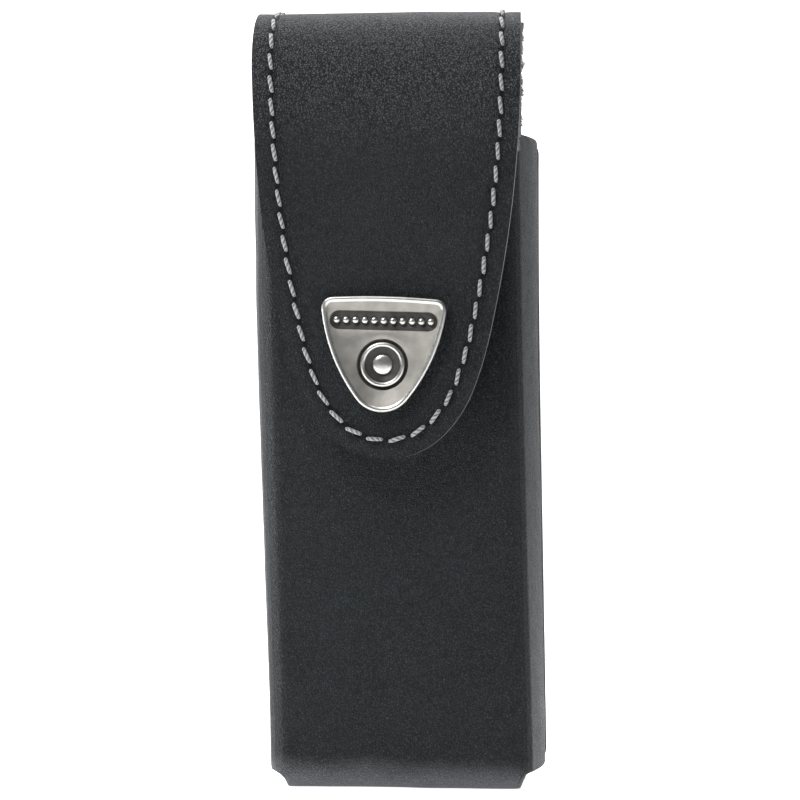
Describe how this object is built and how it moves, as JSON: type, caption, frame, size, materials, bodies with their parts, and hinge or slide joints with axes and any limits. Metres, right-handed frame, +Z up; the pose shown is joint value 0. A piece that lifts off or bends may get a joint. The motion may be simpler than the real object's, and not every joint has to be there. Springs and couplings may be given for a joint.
{
  "type": "belt pouch",
  "caption": "Slim upright leather belt pouch for a folded pocket multi-tool, with an overhanging stitched tongue flap, a metal badge and a belt loop behind.",
  "frame": {"origin": "middle of the flat underside of the pocket's bottom, where the pouch stands", "axes": "+Z up towards the flap's crown, the front with the badge faces -Y, +Y is the belt side, +X is to the right seen from the front"},
  "size_m": [0.05, 0.0426, 0.1357],
  "materials": {
    "leather_black": "fine-grained black leather, soft sheen",
    "suede_lining": "grey suede with a short nap",
    "thread_grey": "waxed light grey sewing thread",
    "thread_dark": "fine black sewing thread",
    "hook_tape": "woven nylon tape with stiff hooks",
    "loop_tape": "woven nylon tape with soft loops",
    "metal_nickel": "antique nickel with a polished rim and dark recesses",
    "metal_washer": "plain steel"
  },
  "bodies": {
    "pouch": {"front_shell": "leather_black", "back_panel": "leather_black", "back_lining": "suede_lining", "back_seam_needle_thread": "thread_grey", "back_seam_bobbin_thread": "thread_grey", "belt_loop": "leather_black", "belt_loop_lower_needle_thread": "thread_grey", "belt_loop_lower_bobbin_thread": "thread_grey", "belt_loop_upper_needle_thread": "thread_grey", "belt_loop_upper_bobbin_thread": "thread_grey", "loop_patch": "loop_tape", "loop_patch_needle_thread": "thread_dark", "loop_patch_bobbin_thread": "thread_dark"},
    "crown": {"crown_leather": "leather_black", "crown_lining": "suede_lining", "crown_needle_threads": "thread_grey", "crown_bobbin_threads": "thread_grey"},
    "tongue": {"tongue_leather": "leather_black", "tongue_lining": "suede_lining", "tongue_needle_thread": "thread_grey", "tongue_bobbin_thread": "thread_grey", "hook_patch": "hook_tape", "hook_patch_thread": "thread_dark", "badge_plate": "metal_nickel", "badge_washers": "metal_washer"}
  },
  "joints": [
    {"name": "flap_swing", "type": "hinge", "parent": "pouch", "child": "crown", "pos_m": [0, 0.0145, 0.116], "axis": [-1, 0, 0], "range_deg": [0, 70]},
    {"name": "tongue_lift", "type": "hinge", "parent": "crown", "child": "tongue", "pos_m": [0, -0.01628, 0.13178], "axis": [-1, 0, 0], "range_deg": [0, 80]}
  ]
}
